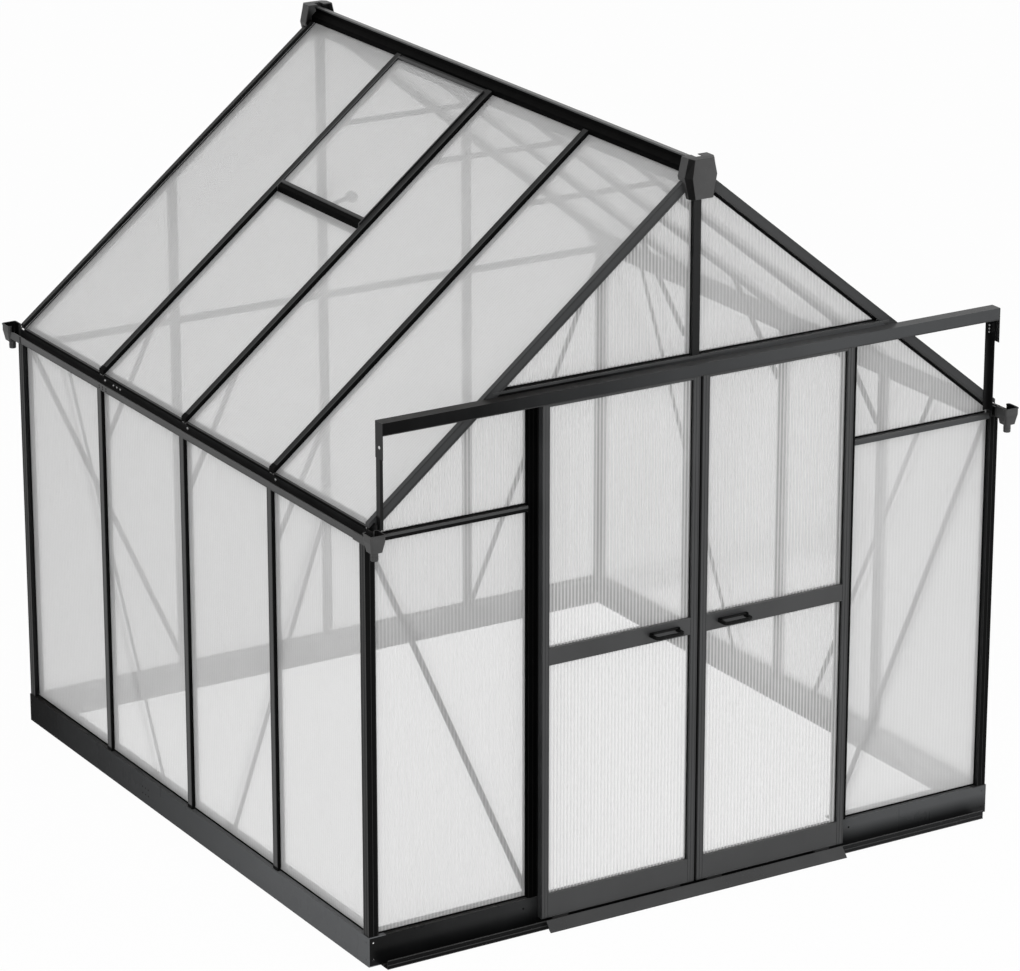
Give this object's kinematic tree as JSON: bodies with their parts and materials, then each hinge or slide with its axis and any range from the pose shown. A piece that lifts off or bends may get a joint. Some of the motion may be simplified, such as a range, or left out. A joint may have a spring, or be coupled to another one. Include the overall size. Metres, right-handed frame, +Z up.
{
  "type": "polycarbonate greenhouse",
  "caption": "Walk-in greenhouse with twin-wall sheets in a dark metal frame, a pitched roof with gutters and a vent, and sliding front doors.",
  "frame": {"origin": "on the ground at the middle of the greenhouse's overall length and width", "axes": "+X to the right along the front as seen from outside, +Y back from the doors along the ridge, +Z up"},
  "size_m": [2.546, 2.698, 2.5632],
  "materials": {
    "frame_paint": "dark grey satin powder coat on aluminium",
    "base_paint": "dark grey satin powder coat on galvanised steel",
    "wall_sheet": "clear twin-wall polycarbonate with upright ribs",
    "roof_sheet": "milky twin-wall polycarbonate with ribs down the slope",
    "black_plastic": "moulded black plastic"
  },
  "bodies": {
    "building": {"base_front": "base_paint", "base_rear": "base_paint", "base_left": "base_paint", "base_right": "base_paint", "corner_posts": "frame_paint", "side_wall_studs": "frame_paint", "rear_studs": "frame_paint", "door_jambs": "frame_paint", "front_gable_post": "frame_paint", "front_gable_sill": "frame_paint", "front_eave_rails": "frame_paint", "rear_eave_rail": "frame_paint", "wall_braces": "frame_paint", "knee_braces": "frame_paint", "collar_ties": "frame_paint", "gable_rafters": "frame_paint", "roof_rafters": "frame_paint", "ridge_beam": "frame_paint", "ridge_caps": "black_plastic", "left_gutter": "frame_paint", "right_gutter": "frame_paint", "left_gutter_outlets": "black_plastic", "right_gutter_outlets": "black_plastic", "left_wall_sheets": "wall_sheet", "right_wall_sheets": "wall_sheet", "rear_wall_sheets": "wall_sheet", "front_wall_sheets": "wall_sheet", "front_gable_sheets": "wall_sheet", "left_roof_sheets": "roof_sheet", "right_roof_sheets": "roof_sheet", "roof_vent_frame": "frame_paint", "roof_vent_sheet": "roof_sheet", "roof_vent_sill": "frame_paint", "roof_vent_stay": "black_plastic", "door_top_rail": "frame_paint", "rail_brackets": "frame_paint", "door_bottom_track": "frame_paint", "door_ramp": "frame_paint"},
    "left_door": {"left_door_frame": "frame_paint", "left_door_sheets": "wall_sheet", "left_door_handle": "black_plastic", "left_door_rollers": "black_plastic"},
    "right_door": {"right_door_frame": "frame_paint", "right_door_sheets": "wall_sheet", "right_door_handle": "black_plastic", "right_door_rollers": "black_plastic"}
  },
  "joints": [
    {"name": "left_door_slide", "type": "slide", "parent": "building", "child": "left_door", "axis": [-1, 0, 0], "range_m": [0, 0.585]},
    {"name": "right_door_slide", "type": "slide", "parent": "building", "child": "right_door", "axis": [1, 0, 0], "range_m": [0, 0.585]}
  ]
}
